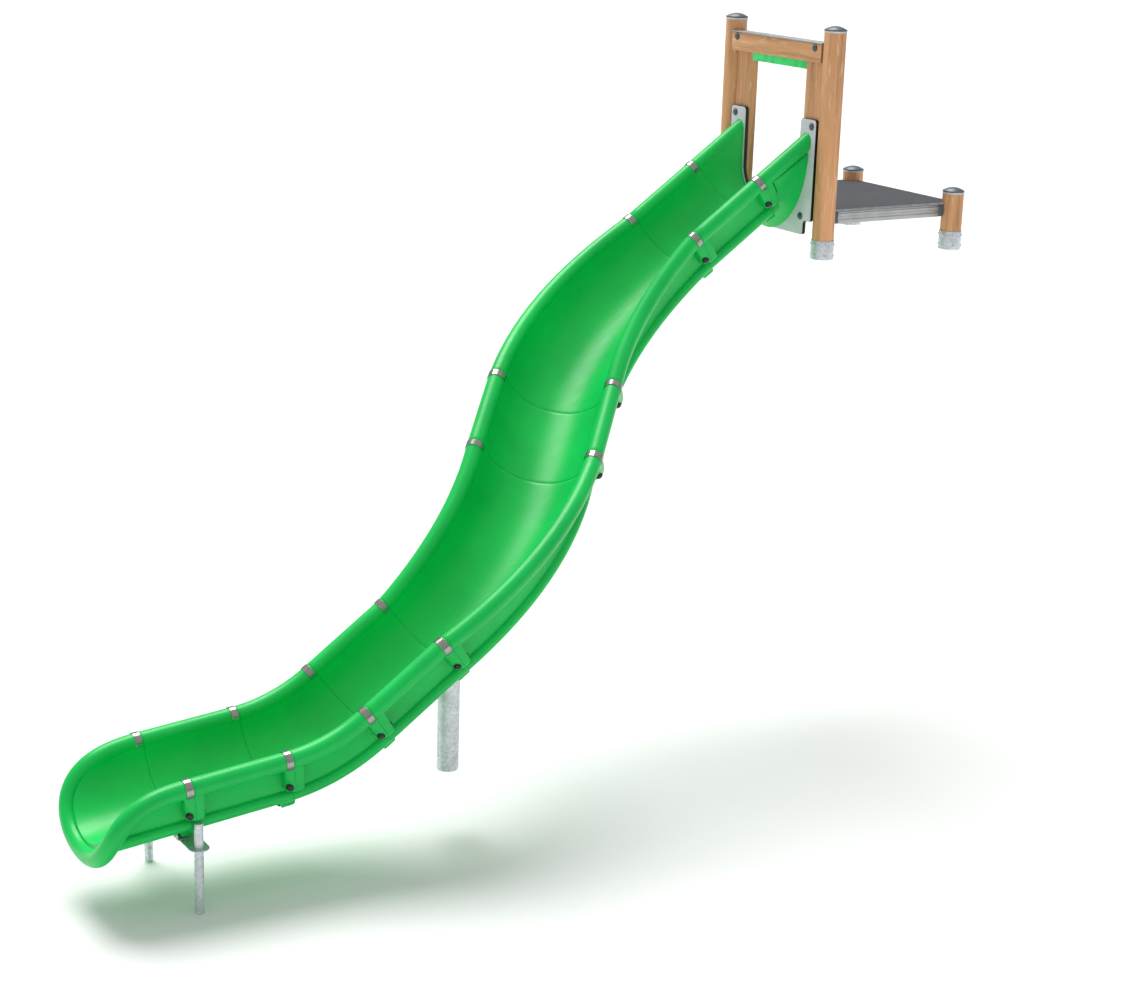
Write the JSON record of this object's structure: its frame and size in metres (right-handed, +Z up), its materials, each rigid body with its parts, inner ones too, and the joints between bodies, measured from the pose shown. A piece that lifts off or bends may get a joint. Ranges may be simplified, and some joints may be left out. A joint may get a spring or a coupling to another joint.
{
  "type": "wave slide",
  "caption": "Embankment slide: a winding half-pipe chute of bolted moulded sections with rolled rims, hung from a timber start frame with a small deck and a steel-legged run-out.",
  "frame": {"origin": "centre of the underside of the near tall post's steel foot, at the upper ground level", "axes": "+Z up, +X from the far tall post to the near tall post, +Y uphill from the chute onto the deck; the chute runs down towards -Y and steps sideways by 1.05 m towards +X"},
  "size_m": [1.9612, 5.6835, 4.02],
  "materials": {
    "green_polyethylene": "rotationally moulded, satin",
    "stainless_steel": "pressed and brushed",
    "oiled_timber": "turned or planed, oiled",
    "galvanised_steel": "hot-dip galvanised, dull",
    "dark_cap_plastic": "injection moulded, satin",
    "grey_panel": "laminate sheet, fine texture",
    "deck_laminate": "anti-slip laminate",
    "aluminium": "extruded, anodised"
  },
  "bodies": {
    "root": {"deck_back_rail": "aluminium", "deck_far_back_end_cap": "dark_cap_plastic", "deck_far_front_end_cap": "dark_cap_plastic", "deck_far_rail": "aluminium", "deck_front_rail": "aluminium", "deck_near_back_end_cap": "dark_cap_plastic", "deck_near_front_end_cap": "dark_cap_plastic", "deck_near_rail": "aluminium", "deck_panel": "deck_laminate", "dip_section": "green_polyethylene", "exit_section": "green_polyethylene", "far_lug_bracket": "galvanised_steel", "far_run_out_leg": "galvanised_steel", "far_short_post": "oiled_timber", "far_short_post_cap": "dark_cap_plastic", "far_short_post_foot": "galvanised_steel", "far_tall_post": "oiled_timber", "far_tall_post_cap": "dark_cap_plastic", "far_tall_post_foot": "galvanised_steel", "far_upright": "oiled_timber", "head_infill_panel": "green_polyethylene", "left_curve_section": "green_polyethylene", "lower_straight_section": "green_polyethylene", "mid_support_post": "galvanised_steel", "mid_support_saddle": "galvanised_steel", "middle_straight_section": "green_polyethylene", "near_lug_bracket": "galvanised_steel", "near_run_out_leg": "galvanised_steel", "near_short_post": "oiled_timber", "near_short_post_cap": "dark_cap_plastic", "near_short_post_foot": "galvanised_steel", "near_tall_post": "oiled_timber", "near_tall_post_cap": "dark_cap_plastic", "near_tall_post_foot": "galvanised_steel", "near_upright": "oiled_timber", "rail_clip_1_far": "stainless_steel", "rail_clip_1_near": "stainless_steel", "rail_clip_2_far": "stainless_steel", "rail_clip_2_near": "stainless_steel", "rail_clip_3_far": "stainless_steel", "rail_clip_3_near": "stainless_steel", "rail_clip_4_far": "stainless_steel", "rail_clip_4_near": "stainless_steel", "rail_clip_5_far": "stainless_steel", "rail_clip_5_near": "stainless_steel", "rail_clip_6_far": "stainless_steel", "rail_clip_6_near": "stainless_steel", "rail_clip_7_far": "stainless_steel", "rail_clip_7_near": "stainless_steel", "rail_clip_8_far": "stainless_steel", "rail_clip_8_near": "stainless_steel", "right_curve_section": "green_polyethylene", "run_out_cross_plate": "galvanised_steel", "run_out_section": "green_polyethylene", "start_panel": "grey_panel", "start_section": "green_polyethylene", "top_beam": "oiled_timber", "top_beam_capping": "aluminium", "upper_straight_section": "green_polyethylene"}
  },
  "joints": []
}
